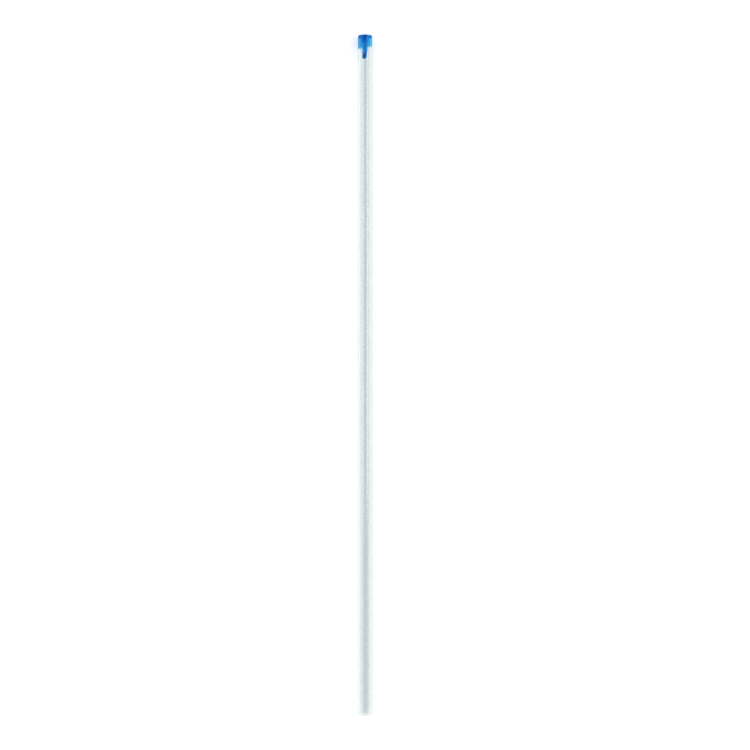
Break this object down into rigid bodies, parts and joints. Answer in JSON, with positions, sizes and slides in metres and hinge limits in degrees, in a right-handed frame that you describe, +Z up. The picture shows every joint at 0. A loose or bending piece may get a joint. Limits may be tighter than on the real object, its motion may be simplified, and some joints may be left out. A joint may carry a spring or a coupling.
{
  "type": "capillary tube",
  "caption": "Thin straight glass capillary tube, open at both ends, with fire-polished edges and a blue dipped mark on one end.",
  "frame": {"origin": "on the surface that the tube lies on, under the middle of its length", "axes": "+X along the bore towards the blue-marked end, +Z up"},
  "size_m": [0.075, 0.0016, 0.0016],
  "materials": {
    "glass": "clear, fire-polished",
    "blue_ink": "glossy dried ink film"
  },
  "bodies": {
    "root": {"glass_tube": "glass", "tip_mark": "blue_ink"}
  },
  "joints": []
}
